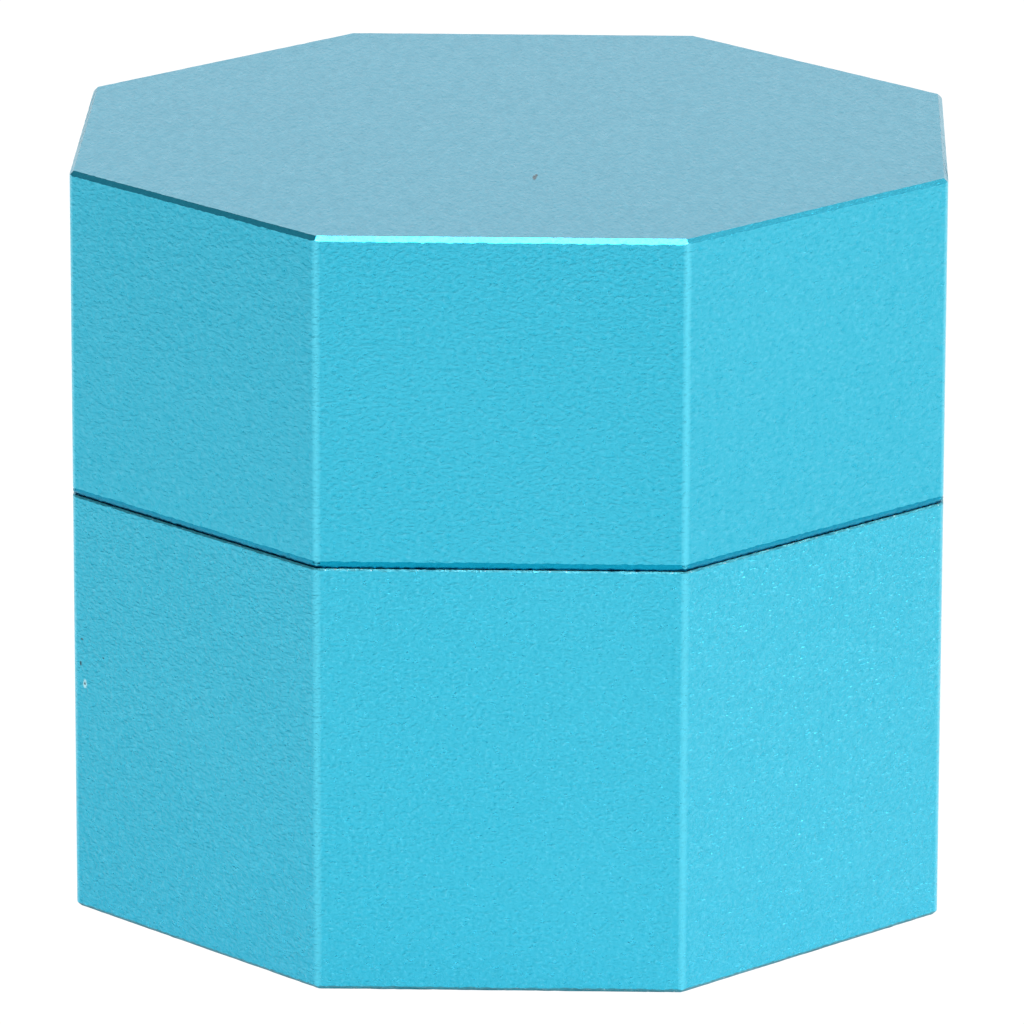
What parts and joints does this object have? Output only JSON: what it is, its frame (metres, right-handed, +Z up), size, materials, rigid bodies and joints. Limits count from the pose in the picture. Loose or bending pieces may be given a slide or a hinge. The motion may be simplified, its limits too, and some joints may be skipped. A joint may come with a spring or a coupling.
{
  "type": "rock tumbler barrel",
  "caption": "Octagonal prism canister in two lined-up halves; the quick-turn lid unscrews and lifts off a rubber-lined cup with an eight-sided tumbling chamber.",
  "frame": {"origin": "centre of the underside of the barrel", "axes": "+Z up along the barrel's axis, flats facing +X, +Y and the diagonals between them"},
  "size_m": [0.1, 0.1, 0.088],
  "materials": {
    "anodised_aluminium": "bead-blasted, anodised turquoise",
    "bare_aluminium": "turned, clear anodised",
    "black_rubber": "moulded, matt",
    "steel": "turned stainless",
    "black_steel": "black oxide",
    "bronze": "oil-impregnated bearing bronze",
    "nylon": "natural nylon"
  },
  "bodies": {
    "barrel": {"barrel_shell": "anodised_aluminium", "barrel_liner": "black_rubber", "neck_ring": "bare_aluminium", "neck_keys": "black_steel", "neck_oring": "black_rubber", "rim_gasket": "black_rubber", "drive_insert": "steel", "insert_washer": "nylon"},
    "inner_lid": {"pressure_plate": "bare_aluminium", "inner_lid": "black_rubber", "retainer_ring": "bare_aluminium", "retainer_screws": "steel", "pivot_bush": "bronze", "upper_washer": "nylon", "lower_washer": "nylon"},
    "lid": {"lid_shell": "anodised_aluminium", "thread_ring": "bare_aluminium", "ring_keys": "black_steel", "pivot_screw": "steel", "disc_spring": "steel"}
  },
  "joints": [
    {"name": "lid_lift", "type": "slide", "parent": "barrel", "child": "inner_lid", "axis": [0, 0, 1], "range_m": [0, 0.048]},
    {"name": "lid_turn", "type": "hinge", "parent": "inner_lid", "child": "lid", "pos_m": [0, 0, 0.08], "axis": [0, 0, 1], "range_deg": [0, 720]}
  ],
  "couplings": [
    {"joint": "lid_lift", "follows": "lid_turn", "m_per_rad": 0.0038197}
  ]
}
